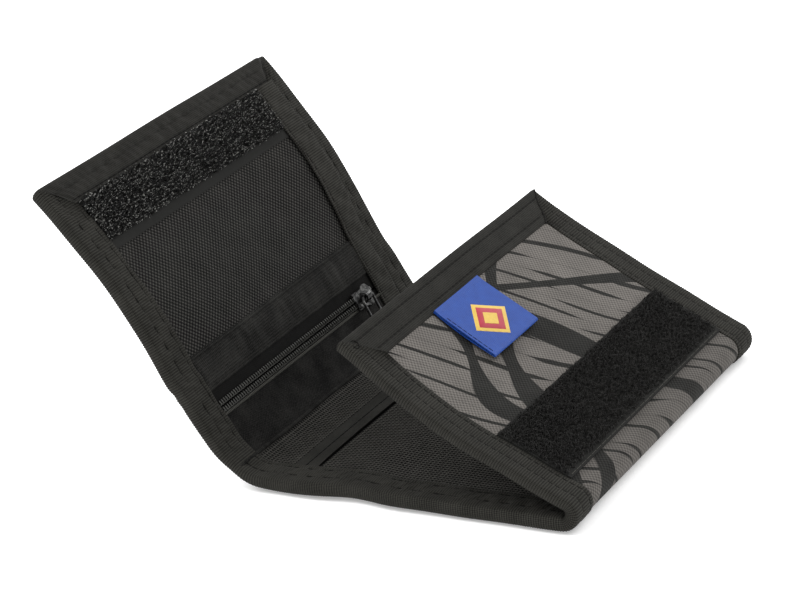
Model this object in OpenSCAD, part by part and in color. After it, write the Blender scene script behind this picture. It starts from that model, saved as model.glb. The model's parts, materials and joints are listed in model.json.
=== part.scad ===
// Trifold fabric wallet: a middle panel that lies flat, a left panel with a zipped coin
// pocket and a hook tape, and a right flap with a loop tape and a folded label.
// X runs along the opened strip, Y along the folds, +Z is the inner side of the middle panel.

/* [Panels] */
// Length of every fold, the height of the closed wallet
wallet_w = 115; // [100:1:125]
// Middle panel, from fold to fold
middle_l = 92; // [86:1:100]
// Left panel, from its spine to its free end
left_l = 84; // [80:1:86]
// Spine between the middle and the left panel
spine_l = 9; // [9:0.5:12]
// Right flap, from its fold to its free end
flap_l = 70; // [64:1:71]
// Thickness of the middle panel, the spine and the left panel
panel_t = 4; // [4:0.2:5]
// Thickness of the right flap
flap_t = 3.2; // [3:0.1:3.4]

/* [Pose] */
// Angle that the spine is raised from flat
spine_rest = 40; // [0:1:80]
// Angle that the left panel is raised from the spine
left_rest = 20; // [0:1:80]
// Angle that the flap is raised from flat
flap_rest = 149; // [0:1:175]

/* [Binding] */
// Visible width of the edge binding
binding_w = 10; // [8:0.5:11]
// Thickness of the edge binding
binding_t = 0.6; // [0.4:0.1:0.6]
// Width of the binding that is folded inside the note compartment
inner_leg_w = 8; // [5:0.5:9]
// Distance that the lining's far edge lies inside the cover's far edge
lining_short = 8; // [0:0.5:10]
// Radius of the corners at the free ends
corner_r = 3; // [1:0.5:6]

/* [Closure] */
// Width of the hook tape
hook_tape_w = 18; // [16:1:20]
// Width of the loop tape
loop_tape_w = 22; // [18:1:24]
// Height of the hooks above the inner surface of the left panel
hook_h = 1.4; // [1:0.1:1.6]
// Height of the loop pile above the outer surface of the flap
loop_h = 1.6; // [1:0.1:1.8]
// Distance from the flap's fold to the loop tape
loop_from_fold = 3.5; // [3:0.5:6]

/* [Zip] */
// Distance from the free end of the left panel to the middle of the zip
zip_from_end = 74; // [71:0.2:74.4]
// Distance from the lining's far edge to the top end of the zip
zip_end_gap = 15.4; // [11:0.2:20]
// Width of both rows of coil together
coil_w = 3; // [2.6:0.1:3.4]
// Length of the slider
slider_l = 9.3; // [8:0.1:10]
// Width of the slider
slider_w = 7; // [6:0.1:7.4]
// Length of the pull ring, from its bar to its far end
pull_l = 10; // [8:0.5:10]
// Width of the pull ring
pull_w = 6.4; // [6:0.1:6.4]

/* [Label] */
// Length of the folded label along the flap's free end
label_l = 25; // [20:1:30]
// Distance that the label reaches in from the binding
label_d = 17.5; // [12:0.5:20]
// Position of the label's middle along the fold direction
label_y = -7.4; // [-10:0.1:10]

/* [Hidden] */
$fn = 48;
// Gap between two bodies at a fold that is opened flat
fold_gap = 0.3;
// Thickness of one sheet of lining, mesh or tape
sheet_t = 0.4;
// Thickness of the cover under the legs of the binding
rim_t = 0.6;
// Gap between pieces of different bodies, or that slide past each other
clear = 0.15;
// Height of the right fold's axis over the inner surface, half the room for the folded contents
flap_axis_up = 1.1;

half_w = wallet_w / 2;
middle_x = middle_l / 2;
spine_hinge = [-middle_x, 0, panel_t];
left_hinge = [-middle_x - spine_l, 0, panel_t];
flap_hinge = [middle_x, 0, panel_t + flap_axis_up];
left_end_x = left_hinge[0] - left_l;
flap_end_x = middle_x + flap_l;
// The window is the part of a panel that the bindings leave free
window_y = half_w - binding_w;
lining_far = half_w - lining_short;

// Heights of the layers, from the outer side to the inner side of a panel
cover_top = binding_t + rim_t;
cover_leg_top = cover_top + binding_t;
inner_leg_z = panel_t - binding_t;
sheet_z = inner_leg_z - sheet_t;
lining_z = sheet_z - sheet_t;
lining_leg_z = lining_z - binding_t;

// Heights of the flap's layers
flap_z = panel_t - flap_t;
flap_lining_z = inner_leg_z - 3 * sheet_t;
card_back_z = flap_lining_z + sheet_t;
card_front_z = card_back_z + sheet_t;

// Zip, along X in the opened strip
zip_x = left_end_x + zip_from_end;
coil_gap = 0.7;
coil_h = 1.2;
coil_row_w = (coil_w - coil_gap) / 2;
zip_tape_gap = 0.6;
zip_tape_w = 7;
stop_l = 2.5;
top_stop_l = 1;
top_stop_y = lining_far - zip_end_gap;
bottom_stop_y = -window_y + clear + stop_l;
slider_y = top_stop_y - clear - slider_l / 2;
slider_plate_t = 0.6;
slider_under_z = lining_z - clear - slider_plate_t;
slider_over_z = sheet_z + coil_h + clear;
slider_top_z = slider_over_z + slider_plate_t;
slider_post_t = 0.3;
bar_r = 0.5;
bridge_r = 1.2;
bridge_l = 3;
bridge_z = slider_top_z + bridge_r - 0.2;
ring_bar = 1.2;
ring_t = 1;

// Bands of the left panel's lining, as distances from its free end
oxford_l = 61.7;
facing_from = 58.4;
facing_to = 69.1;
zip_edge = zip_from_end + coil_w / 2 + 0.4;
piping_r = 0.45;

// Closure tapes
end_leg_w = 8;
hook_tape_from = 6.2;
hook_field_from = 8.5;
hook_field_l = 13;
tape_t = 0.6;
loop_selvage = 1.5;

// Hem on the spine, beside the left fold, and bands of the middle panel's inner side
hem_from_fold = 2.1;
crease_hem_w = 2;
mesh_strip_l = 6.7;
mouth_tape_w = 8.4;
pocket_slot_w = 1;

// Folded label
label_t = 1;
label_hinge = [flap_end_x - binding_w - clear, label_y, flap_z];

// Coin pocket bag, hung between the lining and the cover, clear of the slider's path
bag_end = 12;
bag_mouth = zip_from_end - slider_w / 2 - fold_gap;
bag_z = cover_top + clear;

fabric_black = [0.06, 0.06, 0.058];
grosgrain_black = [0.085, 0.085, 0.08];
mesh_black = [0.07, 0.07, 0.068];
oxford_black = [0.09, 0.09, 0.088];
velcro_black = [0.03, 0.03, 0.03];
print_grey = [0.35, 0.34, 0.33];
coil_grey = [0.3, 0.3, 0.28];
gunmetal = [0.2, 0.2, 0.2];
label_blue = [0.08, 0.17, 0.6];

// ---------- placing: each body is drawn in the opened strip, then turned to its pose ----------

module turned(hinge, angle) {
    translate(hinge)
        rotate([0, angle, 0])
            translate(-hinge)
                children();
}

module on_spine() {
    turned(spine_hinge, spine_rest)
        children();
}

module on_left() {
    on_spine()
        turned(left_hinge, left_rest)
            children();
}

module on_flap() {
    turned(flap_hinge, -flap_rest)
        children();
}

// ---------- shapes ----------

// A block given by its lowest and its highest corner
module block(low, high) {
    translate(low)
        cube(high - low);
}

// A panel's outline with round corners at its free end, extruded between two heights
module round_end(from_x, end_x, z0, z1) {
    s = sign(end_x - from_x);
    translate([0, 0, z0])
        linear_extrude(z1 - z0)
            union() {
                span(from_x, end_x - s * corner_r, half_w);
                span(from_x, end_x, half_w - corner_r);
                for (side = [-1, 1])
                    translate([end_x - s * corner_r, side * (half_w - corner_r)])
                        circle(corner_r);
            }
}

module span(x0, x1, half_y) {
    translate([min(x0, x1), -half_y])
        square([abs(x1 - x0), 2 * half_y]);
}

// A sheet between two places along the strip, as wide as the bindings let it be
module sheet(x0, x1, z0, z1, far = half_w) {
    block([min(x0, x1), binding_t - half_w, z0], [max(x0, x1), far - binding_t, z1]);
}

// A sheet that ends at the window's two long sides
module window_sheet(x0, x1, z0, z1, far = half_w) {
    block([min(x0, x1), clear - window_y, z0], [max(x0, x1), far - binding_w - clear, z1]);
}

// A binding folded around a long edge: two legs and the web between them
module edge_binding(x0, x1, side, z0, z1, low_leg, high_leg, edge = half_w) {
    web = edge - binding_t;
    translate([min(x0, x1), 0, 0])
        mirror([0, side < 0 ? 1 : 0, 0])
            union() {
                block([0, web, z0], [abs(x1 - x0), edge, z1]);
                block([0, edge - low_leg, z0], [abs(x1 - x0), web, z0 + binding_t]);
                block([0, edge - high_leg, z1 - binding_t], [abs(x1 - x0), web, z1]);
            }
}

// A binding folded around a free end, between the two long bindings
module end_binding(end_x, into, z0, z1, low_leg, high_leg) {
    edge = window_y - clear;
    translate([end_x, 0, 0])
        mirror([into < 0 ? 1 : 0, 0, 0])
            union() {
                block([0, -edge, z0], [binding_t, edge, z1]);
                block([binding_t, -edge, z0], [low_leg, edge, z0 + binding_t]);
                block([binding_t, -edge, z1 - binding_t], [high_leg, edge, z1]);
            }
}

// A cover: a thin rim that the bindings hold, and a thicker field in the window
module cover(x0, x1, field_x0, field_x1, z0) {
    sheet(x0, x1, z0 + binding_t, z0 + cover_top);
    window_sheet(field_x0, field_x1, z0, z0 + binding_t);
}

// ---------- middle panel ----------

middle_low = -middle_x + fold_gap / 2;
middle_high = middle_x - fold_gap / 2;
tape_start = middle_low + mesh_strip_l;
pocket_start = tape_start + mouth_tape_w + pocket_slot_w;

module cover_middle() {
    color(print_grey)
        cover(middle_low, middle_high, middle_low, middle_high, 0);
}

module lining_middle() {
    color(fabric_black)
        sheet(middle_low, middle_high, lining_z, sheet_z, lining_far);
}

module mesh_pocket() {
    color(mesh_black)
        sheet(pocket_start, middle_high, sheet_z, inner_leg_z, lining_far);
}

module mesh_strip() {
    color(mesh_black)
        sheet(middle_low, tape_start, sheet_z, inner_leg_z, lining_far);
}

module pocket_mouth_tape() {
    color(grosgrain_black)
        sheet(tape_start, tape_start + mouth_tape_w, sheet_z, inner_leg_z, lining_far);
}

module binding_front_middle() {
    color(grosgrain_black)
        edge_binding(middle_low, middle_high, -1, 0, panel_t, binding_w, binding_w);
}

module binding_back_cover_middle() {
    color(grosgrain_black)
        edge_binding(middle_low, middle_high, 1, 0, cover_leg_top, binding_w, inner_leg_w);
}

module binding_back_lining_middle() {
    color(grosgrain_black)
        edge_binding(middle_low, middle_high, 1, lining_leg_z, panel_t, inner_leg_w, binding_w, lining_far);
}

// ---------- spine ----------

spine_low = left_hinge[0] + fold_gap / 2;
spine_high = spine_hinge[0] - fold_gap / 2;

module cover_spine() {
    color(print_grey)
        on_spine()
            cover(spine_low, spine_high, spine_low, spine_high, 0);
}

module lining_spine() {
    color(fabric_black)
        on_spine()
            sheet(spine_low, spine_high, lining_z, inner_leg_z, lining_far);
}

module crease_hem() {
    hem_x = spine_hinge[0] - hem_from_fold;
    color(grosgrain_black)
        on_spine()
            window_sheet(hem_x - crease_hem_w, hem_x, inner_leg_z, panel_t, lining_far);
}

module binding_front_spine() {
    color(grosgrain_black)
        on_spine()
            edge_binding(spine_low, spine_high, -1, 0, panel_t, binding_w, binding_w);
}

module binding_back_cover_spine() {
    color(grosgrain_black)
        on_spine()
            edge_binding(spine_low, spine_high, 1, 0, cover_leg_top, binding_w, inner_leg_w);
}

module binding_back_lining_spine() {
    color(grosgrain_black)
        on_spine()
            edge_binding(spine_low, spine_high, 1, lining_leg_z, panel_t, inner_leg_w, binding_w, lining_far);
}

// ---------- left panel ----------

left_high = left_hinge[0] - fold_gap / 2;
left_inner_x = left_end_x + binding_t;

// A place on the left panel's strip, from its distance to the free end
function from_end(d) = left_end_x + d;

// Cuts a piece of the left panel to the round corners of its free end
module left_outline() {
    intersection() {
        children();
        round_end(left_high, left_end_x, 0, panel_t);
    }
}

module cover_left() {
    color(print_grey)
        on_left()
            left_outline()
                cover(left_inner_x, left_high, from_end(binding_w), left_high, 0);
}

module lining_oxford() {
    color(oxford_black)
        on_left()
            left_outline()
                sheet(left_inner_x, from_end(oxford_l), lining_z, sheet_z, lining_far);
}

module facing_ribbon() {
    color(grosgrain_black)
        on_left()
            sheet(from_end(facing_from), from_end(facing_to), sheet_z, inner_leg_z, lining_far);
}

module zip_tape_upper() {
    color(fabric_black)
        on_left()
            sheet(zip_x - zip_tape_w, zip_x - zip_tape_gap / 2, lining_z, sheet_z, lining_far);
}

module zip_tape_lower() {
    color(fabric_black)
        on_left()
            sheet(zip_x + zip_tape_gap / 2, left_high, lining_z, sheet_z, lining_far);
}

// One row of the zip's coil, from its bottom stop to its top stop
module coil_row(side) {
    low_y = bottom_stop_y;
    inner = zip_x + side * coil_gap / 2;
    outer = inner + side * coil_row_w;
    block([min(inner, outer), low_y, sheet_z], [max(inner, outer), top_stop_y, sheet_z + coil_h]);
}

module zip_coil_upper() {
    color(coil_grey)
        on_left()
            coil_row(-1);
}

module zip_coil_lower() {
    color(coil_grey)
        on_left()
            coil_row(1);
}

// The bottom stop joins both rows; a top stop closes each row at the far end
module zip_stops() {
    stop_top = sheet_z + coil_h;
    color(gunmetal)
        on_left()
            union() {
                block([zip_x - coil_w / 2, bottom_stop_y - stop_l, sheet_z],
                      [zip_x + coil_w / 2, bottom_stop_y, stop_top]);
                for (side = [-1, 1])
                    translate([zip_x + side * (coil_gap + coil_row_w) / 2, top_stop_y, sheet_z])
                        translate([-coil_row_w / 2, 0, 0])
                            cube([coil_row_w, top_stop_l, coil_h]);
            }
}

module zip_piping() {
    color(grosgrain_black)
        on_left()
            translate([from_end(zip_edge) + piping_r, -window_y + clear, sheet_z + piping_r])
                rotate([-90, 0, 0])
                    cylinder(h = window_y + lining_far - binding_w - 2 * clear, r = piping_r);
}

module facing_lower() {
    color(fabric_black)
        on_left()
            sheet(from_end(zip_edge) + 2 * piping_r, left_high, sheet_z, inner_leg_z, lining_far);
}

module coin_pocket_bag() {
    color(fabric_black)
        on_left()
            window_sheet(from_end(bag_end), from_end(bag_mouth), bag_z, lining_z - clear, lining_far);
}

module hook_tape() {
    color(velcro_black)
        on_left()
            window_sheet(from_end(hook_tape_from), from_end(hook_tape_from + hook_tape_w), sheet_z,
                         inner_leg_z, lining_far);
}

module hook_field() {
    color(velcro_black)
        on_left()
            window_sheet(from_end(hook_field_from), from_end(hook_field_from + hook_field_l),
                         inner_leg_z, panel_t + hook_h, lining_far);
}

module binding_front_left() {
    color(grosgrain_black)
        on_left()
            left_outline()
                edge_binding(left_end_x, left_high, -1, 0, panel_t, binding_w, binding_w);
}

module binding_back_cover_left() {
    color(grosgrain_black)
        on_left()
            left_outline()
                edge_binding(left_end_x, left_high, 1, 0, cover_leg_top, binding_w, inner_leg_w);
}

module binding_back_lining_left() {
    color(grosgrain_black)
        on_left()
            edge_binding(from_end(end_leg_w + clear), left_high, 1, lining_leg_z, panel_t, inner_leg_w,
                         binding_w, lining_far);
}

module binding_end_left() {
    color(grosgrain_black)
        on_left()
            end_binding(left_end_x, 1, 0, panel_t, binding_w, end_leg_w);
}

// ---------- slider and pull ----------

// One plate of the slider: wide and round at the mouth, narrow at the tail
module slider_plate(z0) {
    mouth_r = slider_w / 2;
    tail_w = slider_w * 0.7;
    translate([0, 0, z0])
        linear_extrude(slider_plate_t)
            union() {
                translate([0, slider_l / 2 - mouth_r])
                    circle(mouth_r);
                translate([-tail_w / 2, -slider_l / 2])
                    square([tail_w, slider_l - mouth_r]);
            }
}

module slider_body() {
    color(gunmetal)
        on_left()
            translate([zip_x, slider_y, 0]) {
                slider_plate(slider_under_z);
                slider_plate(slider_over_z);
                block([-slider_post_t / 2, -slider_l / 2, slider_under_z + slider_plate_t],
                      [slider_post_t / 2, slider_l / 2, slider_over_z]);
                slider_bridge();
            }
}

// The bridge that the pull ring turns in: a block with a round top and a bore along the zip
module slider_bridge() {
    difference() {
        union() {
            block([-bridge_r, -bridge_l / 2, slider_top_z], [bridge_r, bridge_l / 2, bridge_z]);
            translate([0, -bridge_l / 2, bridge_z])
                rotate([-90, 0, 0])
                    cylinder(h = bridge_l, r = bridge_r);
        }
        translate([0, -bridge_l, bridge_z])
            rotate([-90, 0, 0])
                cylinder(h = 2 * bridge_l, r = bar_r + 0.1);
    }
}

// The pull: a thin bar in the bridge's bore, two arms and a far bar, as one flat ring
module slider_pull() {
    arm_x = -bar_r;
    color(gunmetal)
        on_left()
            translate([zip_x, slider_y, bridge_z])
                union() {
                    translate([0, -pull_w / 2, 0])
                        rotate([-90, 0, 0])
                            cylinder(h = pull_w, r = bar_r);
                    for (side = [-1, 1])
                        translate([arm_x, side * (pull_w - ring_bar) / 2 - ring_bar / 2, -ring_t / 2])
                            cube([pull_l, ring_bar, ring_t]);
                    translate([pull_l - ring_bar + arm_x, -pull_w / 2, -ring_t / 2])
                        cube([ring_bar, pull_w, ring_t]);
                }
}

// ---------- right flap ----------

flap_low = middle_x + fold_gap / 2;
flap_inner_x = flap_end_x - binding_t;
loop_x = middle_x + loop_from_fold;

module flap_outline() {
    intersection() {
        children();
        round_end(flap_low, flap_end_x, flap_z, panel_t);
    }
}

module cover_flap() {
    color(print_grey)
        on_flap()
            flap_outline()
                cover(flap_low, flap_inner_x, flap_low, flap_end_x - binding_w, flap_z);
}

module lining_flap() {
    color(fabric_black)
        on_flap()
            flap_outline()
                sheet(flap_low, flap_inner_x, flap_lining_z, card_back_z);
}

module card_pocket_back() {
    color(fabric_black)
        on_flap()
            flap_outline()
                sheet(flap_low + flap_l * 0.25, flap_inner_x, card_back_z, card_front_z);
}

module card_pocket_front() {
    color(fabric_black)
        on_flap()
            flap_outline()
                sheet(flap_low + flap_l * 0.45, flap_inner_x, card_front_z, inner_leg_z);
}

module loop_tape() {
    color(velcro_black)
        on_flap()
            window_sheet(loop_x, loop_x + loop_tape_w, flap_z - tape_t, flap_z);
}

module loop_pile() {
    color(velcro_black)
        on_flap()
            window_sheet(loop_x + loop_selvage, loop_x + loop_tape_w - fold_gap, flap_z - loop_h,
                         flap_z - tape_t);
}

module binding_front_flap() {
    color(grosgrain_black)
        on_flap()
            flap_outline()
                edge_binding(flap_low, flap_end_x, -1, flap_z, panel_t, binding_w, binding_w);
}

module binding_back_flap() {
    color(grosgrain_black)
        on_flap()
            flap_outline()
                edge_binding(flap_low, flap_end_x, 1, flap_z, panel_t, binding_w, binding_w);
}

module binding_end_flap() {
    color(grosgrain_black)
        on_flap()
            end_binding(flap_end_x, -1, flap_z, panel_t, binding_w, binding_w);
}

module woven_label() {
    top = label_hinge[2] - clear;
    color(label_blue)
        on_flap()
            block([label_hinge[0] - label_d, label_y - label_l / 2, top - label_t],
                  [label_hinge[0], label_y + label_l / 2, top]);
}

cover_middle();
lining_middle();
mesh_pocket();
mesh_strip();
pocket_mouth_tape();
binding_front_middle();
binding_back_cover_middle();
binding_back_lining_middle();
cover_spine();
lining_spine();
crease_hem();
binding_front_spine();
binding_back_cover_spine();
binding_back_lining_spine();
cover_left();
lining_oxford();
facing_ribbon();
zip_tape_upper();
zip_tape_lower();
zip_coil_upper();
zip_coil_lower();
zip_stops();
zip_piping();
facing_lower();
coin_pocket_bag();
hook_tape();
hook_field();
binding_front_left();
binding_back_cover_left();
binding_back_lining_left();
binding_end_left();
slider_body();
slider_pull();
cover_flap();
lining_flap();
card_pocket_back();
card_pocket_front();
loop_tape();
loop_pile();
binding_front_flap();
binding_back_flap();
binding_end_flap();
woven_label();
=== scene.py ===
import json
import math
import bmesh
import bpy
import numpy as np
from mathutils import Matrix, Vector
from numpy import cos, exp, pi, sin


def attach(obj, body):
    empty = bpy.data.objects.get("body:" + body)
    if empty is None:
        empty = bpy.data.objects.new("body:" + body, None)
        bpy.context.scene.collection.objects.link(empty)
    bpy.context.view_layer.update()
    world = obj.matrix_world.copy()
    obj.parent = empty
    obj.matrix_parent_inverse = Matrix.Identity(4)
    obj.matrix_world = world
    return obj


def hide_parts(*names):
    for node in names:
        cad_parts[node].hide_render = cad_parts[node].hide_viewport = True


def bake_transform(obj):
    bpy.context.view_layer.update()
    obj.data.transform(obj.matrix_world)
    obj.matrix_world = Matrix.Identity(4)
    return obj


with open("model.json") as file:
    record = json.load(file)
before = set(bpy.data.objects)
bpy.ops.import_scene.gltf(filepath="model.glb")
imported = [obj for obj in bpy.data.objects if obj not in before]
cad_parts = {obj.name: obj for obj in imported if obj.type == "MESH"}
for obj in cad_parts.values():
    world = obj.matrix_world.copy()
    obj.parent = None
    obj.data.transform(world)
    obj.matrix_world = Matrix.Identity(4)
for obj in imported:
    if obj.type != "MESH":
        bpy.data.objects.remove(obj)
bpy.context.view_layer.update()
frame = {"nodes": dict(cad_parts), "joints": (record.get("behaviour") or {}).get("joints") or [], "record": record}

# ---- the strip and its folds
# Pieces are drawn in the opened strip, in millimetres: L along the strip, y along the folds, z from
# the outer side to the inner side. place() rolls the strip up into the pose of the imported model.
MM = 0.001
BODY_OF = {n: b for b, names in frame["record"]["behaviour"]["bodies"].items() for n in names}
JOINT = {j["name"]: j for j in frame["joints"]}
FOLD_JOINTS = [JOINT[name] for name in ("left_spine_fold", "left_panel_fold", "right_flap_fold")]
SPINE_AT, LEFT_AT, FLAP_AT = (np.array(j["pos_m"]) / MM for j in FOLD_JOINTS)
# every fold is flat at the low end of its range, so that end gives its angle at rest
SPINE_ANGLE, LEFT_ANGLE, FLAP_ANGLE = (math.radians(-j["range_deg"][0]) for j in FOLD_JOINTS)


def turned(p, at, angle):
    """p turned about the Y line through at, the way the CAD source turns its bodies."""
    x, z = p[:, 0] - at[0], p[:, 2] - at[2]
    c, s = math.cos(angle), math.sin(angle)
    return np.stack([at[0] + x * c + z * s, p[:, 1], at[2] - x * s + z * c], 1)


LEFT_AT_FLAT = turned(LEFT_AT[None], SPINE_AT, -SPINE_ANGLE)[0]


def flat(node):
    """(low, high) of a CAD node in the opened strip, in millimetres."""
    p = np.array([v.co for v in frame["nodes"][node].data.vertices]) / MM
    body = BODY_OF[node]
    on_left = body in ("left_panel", "slider", "pull")
    if on_left or body == "left_spine":
        p = turned(p, SPINE_AT, -SPINE_ANGLE)
    if on_left:
        p = turned(p, LEFT_AT_FLAT, -LEFT_ANGLE)
    if body in ("right_flap", "label"):
        p = turned(p, FLAP_AT, FLAP_ANGLE)
    return p.min(0), p.max(0)


near_low, near_high = flat("binding_front_middle")
HALF = -near_low[1]
TOP = near_high[2]
LEG = near_high[1] - near_low[1]
WINDOW = HALF - LEG         # half of the width between the long bindings
LEFT_END = flat("binding_end_left")[0][0]
ZIP_L = (flat("zip_coil_upper")[0][0] + flat("zip_coil_lower")[1][0]) / 2
SLIDER_Y = (flat("slider_body")[0][1] + flat("slider_body")[1][1]) / 2
FLAP_FROM = FLAP_AT[0]
FLAP_END = flat("binding_end_flap")[1][0]
FLAP_Z = flat("binding_end_flap")[0][2]
SPINE_FROM, LEFT_FROM = SPINE_AT[0], LEFT_AT_FLAT[0]
MID_SPINE = (SPINE_FROM + LEFT_FROM) / 2
FOLD = 10.4                 # cloth in the right fold, from the middle panel to the flap
RAMP = 4.0                  # half of the length over which each left fold bends
EXTRA = math.radians(2.0)   # the left fold bends this much more, and then the panel leans back
LEAN_FROM, LEAN = 33.0, math.radians(13.6)
FLAP_SAG = 2.26
INNER_TAUT = 0.85           # how much less the flap's inner side sags than its outer side
ZIP_ZONE = 9                # beside the zip the cloth's waves don't change along y
CORNER_R, SHARP_CORNER_R = 1.7, 0.7

# the photo's outline against CAD's straight one; the far edge has additions of its own
SKEW = 0.61
STRETCH, FLAP_STRETCH = 1.7, 1.8
WIDEN, FAR_WIDEN = 0.6, (1.3, 1.4)
WAIST, WAIST_AT, WAIST_LENGTH = 1.6, -15, 9
BELLY, FAR_BELLY = 0.4, 0.9
TAPER, FAR_TAPER = 2.0, 0.6
FAR_FOLD, FAR_FOLD_LENGTH = 1.0, 12
SPINE_THINNER, SPINE_LENGTH = 0.3, 9

# how far the lining's far edge lies inside the cover's
INSET, INSET_MORE, INSET_LENGTH = 7.2, 3.8, 95
BOW, BOW_AT, BOW_LENGTH = 1.1, 42, 13


def ease(x):
    x = np.clip(x, 0, 1)
    return x * x * (3 - 2 * x)


def run(s):
    """The place along the sewn strip of a place in the opened CAD strip."""
    return np.where(np.asarray(s) > FLAP_FROM, np.asarray(s) + FOLD, s)


RUN_END = FLAP_END + FOLD


def left_profile():
    """The inner surface's line left of the middle panel: place, x, z and angle."""
    s = np.arange(SPINE_FROM + RAMP, LEFT_END - 6, -0.2)
    u = LEFT_FROM - s
    angle = (SPINE_ANGLE * ease((SPINE_FROM + RAMP - s) / (2 * RAMP))
             + (LEFT_ANGLE + EXTRA) * ease((LEFT_FROM + RAMP - s) / (2 * RAMP))
             - LEAN * np.clip((u - LEAN_FROM) / (LEFT_FROM - LEFT_END - LEAN_FROM), 0, 1.1))
    mid = (angle[1:] + angle[:-1]) / 2
    x = SPINE_FROM + RAMP - np.concatenate([[0], np.cumsum(cos(mid) * 0.2)])
    z = TOP + np.concatenate([[0], np.cumsum(sin(mid) * 0.2)])
    return s[::-1], x[::-1], z[::-1], angle[::-1]


PROFILE = left_profile()


def warp(L, y, z):
    """How far the cloth stands off its flat place, towards the inner side."""
    u, v = LEFT_FROM - L, L - FLAP_FROM - FOLD
    zip_y = y + (SLIDER_Y - y) * exp(-((L - ZIP_L) / ZIP_ZONE) ** 4)
    left = ease(u / 25) * (0.35 * sin(u / 11 + zip_y / 19) + 0.2 * sin(zip_y / 9 - u / 17))
    from_spine, from_flap = ease((L - SPINE_FROM) / 20), ease((FLAP_FROM - L) / 20)
    mid = 0.22 * from_spine * from_flap * (1.2 + sin(L / 12 + y / 16))
    flap = ease(v / 20) * (0.3 * sin(v / 14 + y / 18) + 0.15 * sin(y / 8 + v / 21))
    flap = flap + FLAP_SAG * sin(pi * np.clip(v / (FLAP_END - FLAP_FROM), 0, 1))
    inside = np.clip((z - FLAP_Z) / (TOP - FLAP_Z), 0, 1) * ease((WINDOW + 1 - np.abs(y)) / 6)
    return left + mid + flap * (1 - INNER_TAUT * inside)


def rounded(L, y):
    """Rounds the strip's four corners: each square corner is squeezed into a circle's quarter."""
    radius = np.where((y > 0) | (L > 0), SHARP_CORNER_R, CORNER_R)
    a = np.where(L < 0, L - LEFT_END, RUN_END - L)
    b = HALF - np.abs(y)
    p, q = np.maximum(radius - a, 0), np.maximum(radius - b, 0)
    size = np.hypot(p, q)
    k = np.where((p > 0) & (q > 0), np.maximum(p, q) / np.maximum(size, 1e-6), 1)
    side = np.where(L < 0, 1, -1)
    return L + side * p * (1 - k), y - np.sign(y) * q * (1 - k)


def widening(L, y, u, v):
    """How much further out an edge stands than in CAD; u is 0 to 1 on the left panel, v on the flap."""
    far = ease(y / 10 + 0.5)
    left = WIDEN * ease(u * 3) + far * (FAR_WIDEN[0] * ease(u * 3 - 1) + FAR_WIDEN[1] * ease(u * 3 - 2))
    waist = WAIST * (1 - far) * exp(-((L - WAIST_AT) / WAIST_LENGTH) ** 2)
    belly = (BELLY + FAR_BELLY * far) * sin(pi * np.clip(v * 1.1, 0, 1))
    taper = (TAPER - FAR_TAPER * far) * ease(v * 2 - 1)
    fold = FAR_FOLD * far * ease((L - FLAP_FROM + FAR_FOLD_LENGTH) / FAR_FOLD_LENGTH)
    return left - waist + belly - taper + fold


def place(p):
    """Strip millimetres to world metres."""
    L, y, z = np.asarray(p, float).T
    L, y = rounded(L, y)
    w = warp(L, y, z)
    u = np.clip((LEFT_FROM - L) / (LEFT_FROM - LEFT_END), 0, None)
    v = np.clip((L - FLAP_FROM - FOLD) / (FLAP_END - FLAP_FROM), 0, 1)
    y = y + widening(L, y, u, v) * y / HALF - SKEW * u + 0.16 * sin(L / 8.5) + 0.1 * sin(L / 3.7)
    squeeze = 1 - SPINE_THINNER * exp(-((L - MID_SPINE) / SPINE_LENGTH) ** 2)
    z = TOP + (z - TOP) * squeeze + w
    L = L - STRETCH * ease((u - 0.45) / 0.55) + FLAP_STRETCH * ease(v * 2 - 1)
    # left of the middle panel
    s, px, pz, angle = PROFILE
    lx, lz, la = (np.interp(L, s, q) for q in (px, pz, angle))
    out_x, out_z = lx + (z - TOP) * sin(la), lz + (z - TOP) * cos(la)
    # the middle panel
    flat_part = L > SPINE_FROM + RAMP
    out_x, out_z = np.where(flat_part, L, out_x), np.where(flat_part, z, out_z)
    # the right fold and the flap
    turn = FLAP_ANGLE * np.clip((L - FLAP_FROM) / FOLD, 0, 1)
    reach = np.clip(L - FLAP_FROM - FOLD, 0, None)
    radius = FLAP_AT[2] - z
    fx = FLAP_AT[0] + radius * sin(turn) + reach * cos(turn)
    fz = FLAP_AT[2] - radius * cos(turn) + reach * sin(turn)
    over = L > FLAP_FROM
    out_x, out_z = np.where(over, fx, out_x), np.where(over, fz, out_z)
    return np.stack([out_x, y, out_z], 1) * MM


def lift(L):
    """The flap's outer side lies higher in the strip than the middle panel's."""
    return FLAP_Z * ease((L - FLAP_FROM + 2) / (FOLD + 4))


def inset(L):
    """How far the lining's far edge lies inside the cover's far edge; none from the right fold on."""
    d = L - LEFT_END
    bow = BOW * exp(-((d - BOW_AT) / BOW_LENGTH) ** 2)
    return (INSET + INSET_MORE * ease(d / INSET_LENGTH) - bow) * (1 - ease((L - FLAP_FROM + 24) / 23))


def pulled(L, y):
    """A lining's y, drawn in with the lining's far edge."""
    return y - inset(L) * ease((y - 5) / (HALF - 5))


# ---- mesh helpers
def new_object(name, data):
    obj = bpy.data.objects.new(name, data)
    bpy.context.scene.collection.objects.link(obj)
    return obj


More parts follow.
